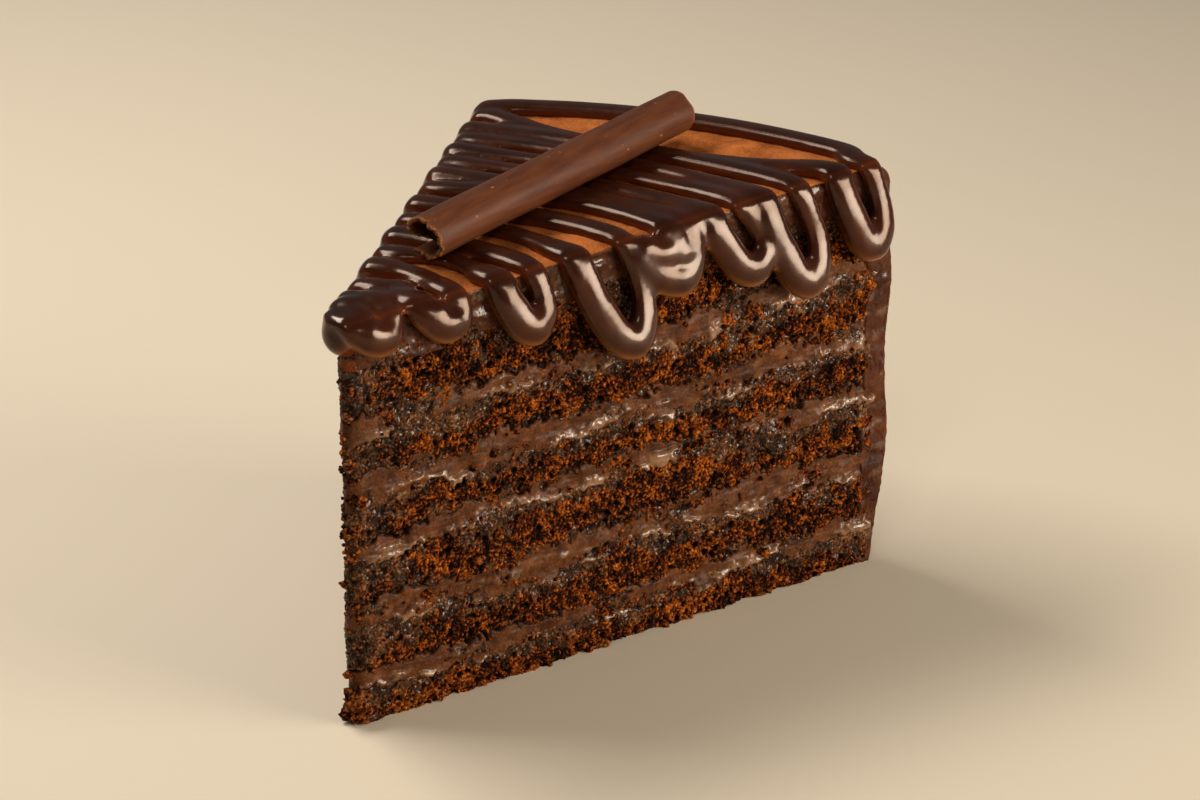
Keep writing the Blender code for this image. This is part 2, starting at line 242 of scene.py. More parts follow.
def gridPiece(name, grid, looks=None):
    # rows of closed rings, each end closed by a fan to its middle
    quads, tris = ringFaces(*grid.shape[:2])
    ends = np.stack([grid[0].mean(0), grid[-1].mean(0)])
    points = np.concatenate([grid.reshape(-1, 3), ends])
    looks = {label: np.concatenate([values.ravel(), values[[0, -1]].mean(1)])
             for label, values in (looks or {}).items()}
    return meshFromFaces(name, points, quads, tris, looks)


def finishPiece(piece, finish, slot, *nodes):
    piece.data.materials.append(finish)
    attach(piece, "root")
    if nodes:
        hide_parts(*nodes)
    print(f"made {piece.name}, {len(piece.data.polygons)} faces")


# shader maths
class Wire:  # a node socket that works in sums
    def __init__(self, tree, socket):
        self.tree, self.socket = tree, socket

    def sum(self, operation, *terms):
        node = self.tree.nodes.new("ShaderNodeMath")
        node.operation = operation
        for term, socket in zip(terms, node.inputs):
            if isinstance(term, Wire):
                self.tree.links.new(term.socket, socket)
            else:
                socket.default_value = term
        return Wire(self.tree, node.outputs[0])

    def __add__(self, other):
        return self.sum("ADD", self, other)

    def __sub__(self, other):
        return self.sum("SUBTRACT", self, other)

    def __rsub__(self, other):
        return self.sum("SUBTRACT", other, self)

    def __mul__(self, other):
        return self.sum("MULTIPLY", self, other)

    def clamp(self):
        return self.sum("MINIMUM", self.sum("MAXIMUM", self, 0.0), 1.0)

    __radd__ = __add__
    __rmul__ = __mul__


class Finish:  # a material, its Principled shader and its nodes
    def __init__(self, name, **constants):
        self.material = bpy.data.materials.new(name)
        self.material.use_nodes = True
        self.tree = self.material.node_tree
        self.shader = self.tree.nodes["Principled BSDF"]
        for label, value in constants.items():
            self.shader.inputs[label.replace("_", " ")].default_value = value
        self.place = self.node("TexCoord", output="Object")

    def node(self, kind, settings=None, output=0, **values):
        # values are its inputs by name, or by number as i0, i1 and so on
        made = self.tree.nodes.new("ShaderNode" + kind)
        for label, value in (settings or {}).items():
            if label == "stops":
                self.setStops(made.color_ramp, value)
            else:
                setattr(made, label, value)
        for label, value in values.items():
            key = int(label[1:]) if label[0] == "i" and label[1:].isdigit() else label.replace("_", " ")
            if isinstance(value, Wire):
                self.tree.links.new(value.socket, made.inputs[key])
            else:
                made.inputs[key].default_value = value
        return Wire(self.tree, made.outputs[output])

    def setStops(self, ramp, stops):
        while len(ramp.elements) < len(stops):
            ramp.elements.new(0.5)
        for element, (position, colour) in zip(ramp.elements, stops):
            element.position = position
            element.color = (*colour, 1)

    def noise(self, millimetres, detail=3.0, rough=0.5):  # 0 to 1, features about that size
        scale = 1000.0 / millimetres
        return self.node("TexNoise", Vector=self.place, Scale=scale, Detail=detail, Roughness=rough)

    def painted(self, *labels):  # values stored on the mesh
        return [self.node("Attribute", {"attribute_name": label}, output="Fac") for label in labels]

    def spread(self, low, high, value):  # 0 at low, 1 at high
        return ((value - low) * (1.0 / (high - low))).clamp()

    def mix(self, factor, first, second):
        first, second = (each if isinstance(each, Wire) else (*each, 1) for each in (first, second))
        return self.node("Mix", {"data_type": "RGBA"}, output=2, i0=factor, i6=first, i7=second)

    def ramp(self, value, stops):
        return self.node("ValToRGB", {"stops": stops}, Fac=value)

    def bump(self, height, millimetres, strength=1.0):
        return self.node("Bump", Height=height, Distance=millimetres * 0.001, Strength=strength)

    def feed(self, **wires):
        for label, wire in wires.items():
            self.tree.links.new(wire.socket, self.shader.inputs[label.replace("_", " ")])
        return self.material


# sponge and cream layers
wall = {
    "nearStep": 0.25,  # spacing of points along the near cut face
    "farStep": 0.36,
    "rowStep": 0.25,
    "overlap": 1.9,  # how far a layer's skin runs on behind its neighbours
    "recede": 0.85,  # how fast it draws in there
    "ragged": 1.7,  # unevenness of a join
    "dips": 1.0,
    "nosePoints": 24,
    "backPoints": 14,  # across the hidden back, inside the rim's frosting
    "rimReach": 2.4,  # how far short of the rim the cut faces end
    "overTop": 2.4,  # crumb dragged up over the frosting's cut edge
}
crumb = {
    "size": 1.0,
    "rise": 0.55,
    "poreSize": 2.1,
    "poreDepth": 1.4,
    "swell": 0.5,  # slow unevenness of the cut
    "soaked": 0.22,  # share of a sponge that is soaked under its filling
    "undercut": 1.2,  # at the foot of the lowest sponge
    "darkNose": 19.0,  # the crumb is darker and glossier as far as this from the tip
}
cream = {
    "recess": 0.25,
    "smear": 0.30,
    "lip": 0.42,  # swelling of the cream squeezed out along its lower edge, as a share of its width
    "crack": 1.3,  # depth of the gap along its upper edge
    "crackWidth": 0.30,
    "cover": -0.14,  # the more, the more crumb is dragged over it
}


def wallOutline():
    # round the wedge inside the rim's frosting: points, outward directions, seen or not, distance to the rim
    near = cake["nearLength"] - wall["rimReach"]
    far = cake["farLength"] - wall["rimReach"]
    nose = cake["noseWidth"] / 2 / sinHalf
    nearRun = np.linspace(near, nose, int((near - nose) / wall["nearStep"]))
    farRun = np.linspace(nose, far, int((far - nose) / wall["farStep"]))
    noseT = np.linspace(0, 1, wall["nosePoints"])[1:-1]
    backT = np.linspace(1, 0, wall["backPoints"])[1:-1]
    plan = np.concatenate([
        edgePlan(nearRun, -1), nosePlan(noseT), edgePlan(farRun, 1), rimPlan(backT, cake["rimCoat"]),
    ])
    noseTurn = (1 - 2 * noseT) * (np.pi / 2 - cake["halfAngle"])
    outward = np.concatenate([
        np.tile([-sinHalf, -cosHalf], (len(nearRun), 1)),
        np.stack([-np.cos(noseTurn), -np.sin(noseTurn)], -1),
        np.tile([-sinHalf, cosHalf], (len(farRun), 1)),
        unit(rimPlan(backT, 0.0)),
    ])
    toRim = np.concatenate([near - nearRun, np.full(len(noseT), near), far - farRun, np.zeros(len(backT))])
    seen = np.arange(len(plan)) < len(plan) - len(backT)
    return plan, outward, seen, toRim


outlinePlan, outlineOut, outlineSeen, outlineToRim = wallOutline()
levels = layerLevels()


def joinHeight(index):
    # where two layers meet round the outline: the level, with dips and humps of the cut
    x, y = outlinePlan.T
    height = levelHeight(levels[index], x, y)
    if index == 0:
        return height
    if index == len(levels) - 1:
        height = height + wall["overTop"]
    spot = np.stack([x, y, np.full(len(x), 37.0 * index)], -1)
    return height + wall["dips"] * (ripple(spot, 15.0, 81) + 0.5 * ripple(spot, 5.0, 82))


def layerWall(index):
    # rows of points up the layer's cut faces, and how far each is from the ragged lower and upper joins
    x, y = outlinePlan.T
    low, high = joinHeight(index), joinHeight(index + 1)
    below = 0.0 if index == 0 else wall["overlap"]
    rows = int((np.mean(high - low) + below + wall["overlap"]) / wall["rowStep"])
    share = np.linspace(0, 1, rows)[:, None]
    z = low - below + share * (high - low + below + wall["overlap"])
    points = np.stack([np.broadcast_to(x, z.shape), np.broadcast_to(y, z.shape), z], -1)
    ragged = wall["ragged"] * (ripple(points, 3.4, 61) + 0.55 * ripple(points, 1.3, 62))
    ragged = np.clip(ragged, -1.6, 1.6)
    fromLow = z - low - (ragged if index else 0)
    return points, fromLow, high - z + ragged


def crumbRelief(points, soak):
    # clumps of crumb: rounded cells with creases between them, open pores, and fine grain
    warped = points + 0.5 * ripple(points, 2.0, 5)[..., None]
    nearest, second, tone = pebbles(warped, crumb["size"], 1)
    clump = np.minimum(second - nearest, 0.5) * 2
    poreNear, _, poreTone = pebbles(warped, crumb["poreSize"], 2)
    pore = ease(0.14 + 0.36 * poreTone, 0.04, poreNear)
    grain = ripple(points, 0.7, 3) * 0.3 + ripple(points, 1.9, 4) * 0.4
    dry = 1 - 0.45 * soak
    relief = dry * (crumb["rise"] * (clump - 0.5) + grain) - crumb["poreDepth"] * pore * (1 - 0.7 * soak)
    # hollow is painted shade: darker in the creases between clumps and in the pores
    hollow = np.clip(0.45 * (1 - clump) + 1.3 * pore - grain * 0.6, 0, 1)
    return relief, hollow, tone


def soakedShare(points, fromLow, fromHigh, index):
    # the syrup under each filling, deeper in some places and towards the rim
    drift = ripple(points, 16.0, 30) * 0.35 + ripple(points, 6.0, 31) * 0.3 + ripple(points, 1.8, 32) * 0.35
    towardsRim = ease(50, 120, points[..., 0]) * 0.12
    upShare = fromLow / (fromLow + fromHigh)
    soak = ease(-0.10, 0.14, upShare - (1 - crumb["soaked"]) + drift + towardsRim)
    if index:
        soak = np.maximum(soak, 0.8 * ease(0.10, -0.02, upShare + drift * 0.5))
    # darker and glossier towards the tip
    nose = ease(crumb["darkNose"], 5.0, points[..., 0] + 16 * drift)
    return np.maximum(soak, 0.9 * nose)


def spongeSkin(points, fromLow, fromHigh, index):
    # open crumb, drawn in at the foot of the lowest sponge
    soak = soakedShare(points, fromLow, fromHigh, index)
    relief, hollow, tone = crumbRelief(points, soak)
    if index == 0:
        foot = ease(3.0, 0.0, points[..., 2]) * (0.35 + ripple(points * (1, 1, 0.2), 7.0, 35))
        relief = relief - crumb["undercut"] * foot
    none = np.zeros_like(soak)
    return relief, {"hollow": hollow, "tone": tone, "soak": soak, "creamy": none, "slick": none}


def creamSkin(points, fromLow, fromHigh):
    # a soft band dragged along by the knife, in places buried under crumb, with a slick squeezed lower lip
    along = points * (0.3, 0.3, 1.0)
    smear = ripple(along, 2.6, 21) * cream["smear"] + ripple(along, 0.9, 22) * 0.14
    smear = smear + ripple(points, 0.6, 23) * 0.06 + ripple(points, 5.0, 24) * 0.25
    buried = ripple(points * (0.35, 0.35, 1.0), 5.0, 36) + 0.45 * ripple(points, 1.6, 37)
    buried = ease(-0.05, 0.50, buried + cream["cover"] + 0.14 * ease(35, 65, points[..., 0]))
    wet = ease(-0.1, 0.5, ripple(points, 5.0, 38) + 0.15)
    rough, hollow, tone = crumbRelief(points, wet)
    squeezed = ripple(along, 3.4, 39) + 0.35 * ripple(points, 2.0, 40) + 0.1 * ease(60, 90, points[..., 0])
    squeezed = ease(-0.02, 0.25, squeezed)
    broad = 0.8 + 1.1 * ease(0.0, 0.4, ripple(along, 4.5, 43)) + 0.4 * ease(60, 90, points[..., 0])
    slick = squeezed * np.exp(-((fromLow - 0.4 * broad) / broad) ** 2) * (1 - 0.6 * buried)
    slick = slick * ease(4.0, 14.0, points[..., 0])
    relief = smear * (1 - buried) + rough * buried + cream["lip"] * broad * slick - cream["recess"]
    looks = {"hollow": hollow * buried, "tone": tone, "soak": wet, "creamy": 1 - buried, "slick": slick}
    return relief, looks


def crackOpening(points, toCream):
    # long gaps, in places, where a cream meets the sponge on it
    along = points * (0.25, 0.25, 0.6)
    return ease(0.05, 0.30, ripple(along, 3.5, 41) + 0.08) * np.exp(-(toCream / cream["crackWidth"]) ** 2)


def buildLayer(index, finish):
    # relief pushes the wall's points outward; past its joins the skin draws in behind its neighbours
    kind = "filling" if index % 2 else "sponge"
    points, fromLow, fromHigh = layerWall(index)
    if kind == "sponge":
        relief, looks = spongeSkin(points, fromLow, fromHigh, index)
        toCream = fromLow if index else np.full(fromLow.shape, np.inf)
    else:
        relief, looks = creamSkin(points, fromLow, fromHigh)
        toCream = fromHigh
    opened = crackOpening(points, toCream)
    # the gap is painted dark as well, as the shade in it
    looks["hollow"] = np.maximum(looks["hollow"], opened)
    relief = relief - cream["crack"] * opened
    relief = relief + crumb["swell"] * (ripple(points, 9.0, 6) + 0.6 * ripple(points, 4.0, 7))
    beyondLow = np.maximum(0, -fromLow) if index else 0
    relief = relief - wall["recede"] * (np.maximum(0, -fromHigh) + beyondLow)
    edge = ease(0.0, 2.5, outlineToRim + ripple(points, 2.5, 42) * 2.0)
    relief = np.where(outlineSeen, relief * edge - 1.2 * (1 - edge), 0)
    points[..., :2] += outlineOut * relief[..., None]
    name = f"{kind}_{index // 2 + 1}"
    finishPiece(gridPiece(name + "_cut", points, looks), finish, kind, name)


crumbs = {
    "atNose": 70,  # lumps that stick out at the blunt tip
    "atFoot": 110,  # along the foot of both cut faces
    "onFace": 60,
    "atCorner": 16,  # bigger lumps at the foot of the tip
    "noseHeights": (1, 78),
    "footHeights": (0.3, 2.5),
    "faceHeights": (3, 74),
    "cornerHeights": (0.5, 7),
    "footReach": (8, 128),  # from the tip along the cut faces
    "faceReach": (8, 140),
    "nearShare": 0.6,  # of those along the foot
    "smallest": 0.35,
    "largest": 1.25,
    "cornerSizes": (1.0, 2.2),
    "rings": 9,  # of points on each lump
    "around": 14,
    "poleGap": 0.15,
    "squash": 0.85,
}


def crumbPlaces(dice):
    # places and sizes: at the nose, low along the cut faces, on the near face and at the foot of the tip
    turn = dice.uniform(0.1, 0.9, crumbs["atNose"])
    nose = np.column_stack([nosePlan(turn), dice.uniform(*crumbs["noseHeights"], crumbs["atNose"])])
    side = np.where(dice.random(crumbs["atFoot"]) < crumbs["nearShare"], -1.0, 1.0)
    s = dice.uniform(*crumbs["footReach"], crumbs["atFoot"])
    foot = np.column_stack([edgePlan(s, side), dice.uniform(*crumbs["footHeights"], crumbs["atFoot"])])
    s = dice.uniform(*crumbs["faceReach"], crumbs["onFace"])
    face = np.column_stack([edgePlan(s, -1), dice.uniform(*crumbs["faceHeights"], crumbs["onFace"])])
    count = crumbs["atCorner"]
    turn = dice.uniform(0, 0.9, count)
    corner = np.column_stack([nosePlan(turn), dice.uniform(*crumbs["cornerHeights"], count)])
    places = np.concatenate([nose, foot, face, corner])
    spread = dice.random(len(places)) ** 1.8  # more small ones than large
    sizes = crumbs["smallest"] + (crumbs["largest"] - crumbs["smallest"]) * spread
    sizes[-count:] = dice.uniform(*crumbs["cornerSizes"], count)
    return places, sizes


def buildCrumbs(finish):
    # every lump is a ball with its surface pushed in and out
    dice = np.random.default_rng(9)
    places, sizes = crumbPlaces(dice)
    ball = ballRings(crumbs["rings"], crumbs["around"], crumbs["poleGap"]).reshape(-1, 3)
    ball = np.concatenate([ball, [[0, 0, 1], [0, 0, -1]]])
    points = places[:, None] + ball * sizes[:, None, None]
    bumpy = 1 + 0.45 * ripple(points, 0.7, 94) + 0.3 * ripple(points, 1.4, 95)
    points = places[:, None] + ball * (sizes[:, None] * bumpy)[..., None] * (1, 1, crumbs["squash"])
    quads, tris = ringFaces(crumbs["rings"], crumbs["around"])
    step = len(ball) * np.arange(len(places))[:, None, None]
    tone = np.broadcast_to(dice.random(len(places))[:, None], bumpy.shape)
    # painted shade, darker where a lump's surface is pushed in
    hollow = np.clip(0.2 - 1.2 * (bumpy - 1), 0, 1)
    none = np.zeros(bumpy.shape)
    looks = {"hollow": hollow, "tone": tone, "soak": tone * 0.5, "creamy": none, "slick": none}
    piece = meshFromFaces("crumbs", points.reshape(-1, 3), (quads + step).reshape(-1, 4),
                          (tris + step).reshape(-1, 3), looks)
    finishPiece(piece, finish, "sponge")


# the lowest stops, reached where hollow is high, are painted shade
cutColours = {  # from the deepest places to the highest
    "dryCrumb": [(0.0, (0.006, 0.0018, 0.0006)), (0.26, (0.06, 0.012, 0.0022)),
                 (0.58, (0.28, 0.06, 0.0055)), (1.0, (0.66, 0.19, 0.02))],
    "wetCrumb": [(0.0, (0.015, 0.005, 0.0014)), (0.5, (0.088, 0.030, 0.0085)), (1.0, (0.26, 0.11, 0.038))],
    "cream": [(0.1, (0.015, 0.0042, 0.0012)), (0.5, (0.082, 0.0255, 0.0073)), (0.9, (0.17, 0.06, 0.02))],
    # paler colour of the slick squeezed cream, a painted highlight
    "slickCreamHighlight": (0.37, 0.21, 0.11),
}


def cutFinish(name):
    # dry crumb from near black in the pores, a painted shade, to orange brown, soaked crumb dark and wet,
    # cream smooth and brown, and slick where it was squeezed, painted paler there as a highlight
    made = Finish(name, Specular_IOR_Level=0.07, Coat_Roughness=0.10)
    hollow, tone, soak, creamy, slick = made.painted("hollow", "tone", "soak", "creamy", "slick")
    speckle, fine, patch = made.noise(0.55, 2.0), made.noise(0.22, 1.0), made.noise(5.0, 2.0)
    # hollow darkens the crumb and the cream as painted shade in pores, creases and gaps
    shade = (tone * 0.30 + speckle * 1.9 + fine * 0.4 + patch * 1.1 - 1.28 - hollow * 1.2).clamp()
    dry, wet = made.ramp(shade, cutColours["dryCrumb"]), made.ramp(shade, cutColours["wetCrumb"])
    soaked = made.spread(0.25, 0.75, soak + (speckle - 0.5) * 1.2)
    crumbly = made.mix(soaked, dry, wet)
    worked = (made.noise(3.0, 3.0) * 1.1 + speckle * 0.7 - hollow * 0.8 - 0.4).clamp()
    # painted highlight: the slick cream is mixed towards a paler colour
    smooth = made.mix(slick * 0.42, made.ramp(worked, cutColours["cream"]), cutColours["slickCreamHighlight"])
    smeared = made.spread(0.25, 0.75, creamy + (speckle - 0.5) * 0.7)
    colour = made.mix(smeared, crumbly, smooth)
    crumbRough = 0.9 - soaked * 0.68
    rough = crumbRough + (0.5 - crumbRough) * smeared - slick * 0.36
    grain = fine * (1.2 - soaked) + speckle * 1.2
    relief = grain * (1.15 - smeared) + made.noise(1.2, 2.0) * 0.5
    glints = made.spread(0.53, 0.60, made.noise(1.0, 2.0))
    glitter = made.spread(0.42, 0.58, made.noise(0.5, 2.0))
    sheen = soaked * glints * (1.0 - smeared) * 0.5 + slick * (glitter * 1.2 + 0.3) + smeared * 0.05
    return made.feed(Base_Color=colour, Roughness=rough, Coat_Weight=sheen.clamp(),
                     Normal=made.bump(relief, 0.45, 0.9))


def buildLayers():
    finishes = [cutFinish("dark sponge"), cutFinish("chocolate cream")]
    for index in range(len(levels) - 1):
        buildLayer(index, finishes[index % 2])
    buildCrumbs(finishes[0])
    print("layers are made")


# frosting over the top and down the rim
frosting = {
    "topStep": 0.36,  # spacing of rows along the top
    "wallStep": 0.6,
    "sideColumns": 28,
    "acrossColumns": 110,
    "backSpacing": 14,  # the hidden back has one column for this many of the front's
    "underlap": 0.5,  # how far it reaches into the sponge below it
    "backlap": 0.6,
    "rimRound": 6.0,
    "ridge": 0.7,
    "ridgePitch": 37.0,
    "ridgeStart": 23.75,
    "footHeight": 20.0,
    "footInset": 4.0,
    "rimColours": [(0.35, (0.05, 0.01, 0.0018)), (0.65, (0.17, 0.038, 0.007))],
    "cocoaColours": [(0.35, (0.24, 0.06, 0.012)), (0.65, (0.62, 0.19, 0.046))],
    "cutColours": [(0.35, (0.014, 0.0036, 0.0009)), (0.65, (0.095, 0.025, 0.006))],
    # the paler colour of the slick cut patches is a painted highlight
    "slickHighlightColour": (0.24, 0.12, 0.05),
}


def rimShift(z):
    # spatula ridges up the wall, and a foot that draws in
    shift = frosting["ridge"] * np.sin(2 * np.pi * (z - frosting["ridgeStart"]) / frosting["ridgePitch"])
    foot = np.clip(1 - z / frosting["footHeight"], 0, 1) ** 1.5
    return shift - frosting["footInset"] * foot


def frostingSheets(t, w, topRows):
    # the outer and inner skins: out along the top from the nose, round the rim's edge and down the wall
    radius = frosting["rimRound"]
    outer, inner = np.zeros((len(w), len(t), 3)), np.zeros((len(w), len(t), 3))
    cornerZ = cake["rimHeight"] - radius
    onTop, below = w[:topRows], w[topRows:]
    share = (onTop / onTop[-1])[:, None, None]
    outer[:topRows, :, :2] = nosePlan(t) * (1 - share) + rimPlan(t, radius) * share
    inner[:topRows, :, :2] = nosePlan(t) * (1 - share) + rimPlan(t, cake["rimCoat"]) * share
    outer[:topRows, :, 2] = topHeight(outer[:topRows, :, 0])
    innerX, innerY = inner[:topRows, :, 0], inner[:topRows, :, 1]
    inner[:topRows, :, 2] = levelHeight(levels[-1], innerX, innerY) - frosting["underlap"]
    travel = below - onTop[-1]
    turn = np.clip(travel / radius, 0, np.pi / 2)
    down = np.maximum(travel - radius * np.pi / 2, 0)
    z = cornerZ + radius * np.cos(turn) - down
    inset = radius * (1 - np.sin(turn)) - rimShift(z) * np.sin(turn)
    for place, height, pull in zip(range(topRows, len(w)), z, inset):
        outer[place, :, :2] = rimPlan(t, pull)
        outer[place, :, 2] = height + (topHeight(outer[place, :, 0]) - cake["rimHeight"]) * height / cornerZ
        inner[place, :, :2] = rimPlan(t, cake["rimCoat"] + frosting["backlap"])
        inner[place, :, 2] = min(height, cake["rimHeight"] * levels[-1])
    return outer, inner


def frostingRows():
    # distances from the nose along the top and on down the wall, and how many of them are on the top
    topLength = cake["nearLength"] - frosting["rimRound"] - cake["noseWidth"]
    wallLength = frosting["rimRound"] * np.pi / 2 + cake["rimHeight"] - frosting["rimRound"]
    topRows, wallRows = int(topLength / frosting["topStep"]), int(wallLength / frosting["wallStep"])
    onWall = np.linspace(0, wallLength, wallRows + 1)[1:]
    return np.concatenate([np.linspace(0, topLength, topRows), topLength + onWall]), topRows


def frostingGrid(w, topRows):
    # rings round the coat, and for each of their columns which side of it the column is on
    outer, inner = frostingSheets(np.linspace(0, 1, frosting["acrossColumns"]), w, topRows)
    up = np.linspace(0, 1, frosting["sideColumns"])[None, 1:-1, None]
    sides = {
        "near": inner[:, :1] * (1 - up) + outer[:, :1] * up,
        "outer": outer,
        "far": outer[:, -1:] * (1 - up) + inner[:, -1:] * up,
        "back": inner[:, ::-frosting["backSpacing"]],
    }
    grid = np.concatenate(list(sides.values()), axis=1)
    grid = np.concatenate([grid[:1], grid])
    grid[0] = grid[1] * 0.15 + grid[1].mean(0) * 0.85  # the nose's end closes in towards its middle
    return grid, np.repeat(list(sides), [side.shape[1] for side in sides.values()])


def frostingOut(grid, side, onWall):
    # outward directions: up on the top, away from the tip on the wall, and square to the cut sides
    out = np.zeros(grid.shape)
    out[..., 2] = np.where(onWall, 0, 1)
    out[..., :2] = np.where(onWall[..., None], unit(grid[..., :2]), 0)
    out[:, side == "near"] = (-sinHalf, -cosHalf, 0)
    out[:, side == "far"] = (-sinHalf, cosHalf, 0)
    out[:, side == "back"] = 0
    return out


def buildFrosting(finish):
    # smeared by the knife where it is cut, and elsewhere spread in slow waves with fine grain
    w, topRows = frostingRows()
    grid, side = frostingGrid(w, topRows)
    onWall = (np.arange(len(grid)) > topRows)[:, None]
    cutSide = (side == "near") | (side == "far")
    along = grid * (0.35, 0.35, 1.0)
    smear = ripple(along, 2.4, 51) * 0.45 + ripple(grid, 0.9, 52) * 0.22 + ripple(grid, 5.0, 53) * 0.35
    spread = ripple(grid, 1.3, 58) * 0.12 + ripple(grid, 14.0, 54) * 0.5
    spread = spread + ripple(grid * (0.6, 0.6, 1.6), 3.5, 55) * 0.22
    relief = np.where(cutSide, smear, spread)
    grid = grid + frostingOut(grid, side, onWall) * relief[..., None]
    slick = ease(0.22, 0.5, ripple(along, 3.0, 56) + 0.4 * ripple(grid, 2.0, 57)) * cutSide
    looks = {
        "dusted": ((side == "outer") & ~onWall).astype(float),
        "slick": slick,
        "cut": np.broadcast_to(cutSide, slick.shape).astype(float),
    }
    finishPiece(gridPiece("frosting_coat", grid, looks), finish, "frosting", "frosting")


def frostingFinish():
    # cocoa-dusted on top, satin and streaked on the rim, slick and smeared, with a painted highlight, where
    # cut
    made = Finish("chocolate frosting", Specular_IOR_Level=0.08, Coat_Roughness=0.16)
    dusted, cut, slick = made.painted("dusted", "cut", "slick")
    patch, fleck = made.noise(6.0, 4.0), made.noise(0.5, 3.0)
    blend = patch * 0.6 + fleck * 0.4
    body, cocoa, sliced = (
        made.ramp(blend, frosting[colours]) for colours in ("rimColours", "cocoaColours", "cutColours"))
    # painted highlight: slick patches on the cut sides mixed towards a paler colour
    sliced = made.mix(slick * 0.15, sliced, frosting["slickHighlightColour"])
    colour = made.mix(cut, made.mix(dusted, body, cocoa), sliced)
    rough = 0.55 + dusted * 0.4 - slick * 0.38
    relief = made.noise(1.6, 4.0) + fleck * 0.5
    sheen = slick * 0.65 + (1.0 - dusted) * 0.03
    return made.feed(Base_Color=colour, Roughness=rough, Coat_Weight=sheen,
                     Normal=made.bump(relief, 0.35, 0.7))


# poured ganache
ganache = {
    "topWidth": 7.4,
    "topHeight": 3.8,
    "faceWidth": 7.0,
    "faceHeight": 4.8,
    "bulb": 1.12,  # how much a loop's lowest part swells
    "fullness": 0.7,  # 1 gives an oval section, less a flatter front
    "lift": 0.9,  # middle of the strand above what it lies on
    "step": 0.7,  # spacing of the strand's rings
    "around": 16,
    "voxel": 0.6,
    "softening": 12,
    "ridges": 0.14,
    "bow": 2.5,  # how far a pass over the top bows towards the rim
    "bowSpread": (-1.5, 2),
    "lastBow": -6.0,
    "passWidths": (0.74, 0.96),
    "lean": 0.19,  # how much farther out a loop stands for each millimetre it hangs
    # loops down the near face: where the strand comes over the edge, its lowest point as a distance
    # from the tip and a drop, and where it goes back over
    "nearLoops": [
        (6.0, 11.5, 5.0, 15.0), (22.0, 28.0, 6.5, 30.5), (41.0, 48.5, 12.5, 50.0), (60.0, 73.6, 22.0, 73.5),
        (84.5, 87.5, 7.0, 90.0), (95.5, 106.5, 15.0, 105.0), (110.0, 121.2, 21.5, 120.5),
        (131.0, 139.6, 18.0, 140.5),
    ],
    "farLoops": [
        (15.5, 18.5, 9.0, 23.5), (33.0, 37.0, 14.0, 41.0), (50.0, 54.0, 18.0, 59.0), (68.0, 73.0, 12.0, 77.5),
        (85.0, 89.0, 21.0, 92.5), (99.5, 103.0, 15.0, 107.0), (113.0, 118.0, 19.0, 122.0),
    ],
    # distance from the tip, drop and width of the strand's last points on the far face, and of two short
    # strands that join its middle loops on the near one
    "farTail": [(126.0, 3.0, 1.0), (126.5, 12.0, 1.2)],
    "nearExtras": [
        [(75.5, 1.0, 0.9), (77.5, 6.0, 1.0), (82.0, 10.5, 1.05), (87.0, 12.0, 1.15),
         (90.2, 8.5, 1.0), (90.6, 1.0, 0.9), (90.0, -5.0, 0.9)],
        [(76.5, 3.0, 1.0), (80.5, 5.5, 1.1), (84.5, 6.5, 1.1)],
    ],
    "start": [(10.5, 2.0, 1.1), (8.5, -0.5, 1.15)],  # over the nose: x, y and width
    "rimRun": (0.1, 0.93),  # the share of the rim's arc that it runs along
    "rimInset": 5.2,
    "rimWidth": 0.95,
    # middles and half sizes of the round lobes at the tip
    "lobes": [
        ((7.6, 1.0, 88.2), (5.3, 5.0, 5.3)), ((13.0, -4.6, 87.2), (4.3, 4.0, 4.7)),
        ((11.0, 2.5, 91.0), (5.0, 4.5, 3.2)), ((16.0, 0.0, 91.8), (5.5, 5.0, 2.4)),
    ],
    "colours": [(0.3, (0.018, 0.0034, 0.001)), (0.7, (0.044, 0.0083, 0.0021))],
    "thinColour": (0.17, 0.035, 0.008),
    # painted reflection of the floor on the undersides of the hanging loops
    "underReflectionColour": (0.25, 0.088, 0.018),
}


def foldOver(plan, lift):
    # the plan beyond a cut edge is folded down the face, round the edge with the lift as its radius
    x, y = plan.T
    side = np.where(y < 0, -1.0, 1.0)
    along = x * cosHalf + side * y * sinHalf
    beyond = -x * sinHalf + side * y * cosHalf
    turn = np.clip(beyond / lift, 0, np.pi / 2)
    down = np.maximum(beyond - lift * np.pi / 2, 0)
    outward = np.stack([np.full(len(x), -sinHalf), side * cosHalf], -1)
    inside = np.minimum(beyond, 0)
    spot = edgePlan(along, side) + outward * (inside + lift * np.sin(turn) + ganache["lean"] * down)[:, None]
    z = topHeight(spot[:, 0]) + lift * np.cos(turn) - down
    normal = np.concatenate([outward * np.sin(turn)[:, None], np.cos(turn)[:, None]], axis=1)
    return np.concatenate([spot, z[:, None]], axis=1), normal, np.maximum(beyond, 0)


def throughPoints(knots, step):
    # a Catmull-Rom curve through the knots, sampled about a step apart
    knots = np.asarray(knots, float)
    padded = np.concatenate([knots[:1], knots, knots[-1:]])
    line = []
    for a, b, c, d in zip(padded[:-3], padded[1:-2], padded[2:-1], padded[3:]):
        count = max(2, int(np.linalg.norm((c - b)[:2]) / step))
        u = np.linspace(0, 1, count, endpoint=False)[:, None]
        line.append(0.5 * (2 * b + (c - a) * u + (2 * a - 5 * b + 4 * c - d) * u**2
                           + (3 * b - a - 3 * c + d) * u**3))
    return np.concatenate(line + [knots[-1:]])


def unfolded(along, beyond, side):  # plan point at a distance along a cut edge and beyond it
    return np.array([along * cosHalf - beyond * sinHalf, side * (along * sinHalf + beyond * cosHalf)])


def unfoldedKnots(knots, side):
    return [(*unfolded(along, beyond, side), width) for along, beyond, width in knots]


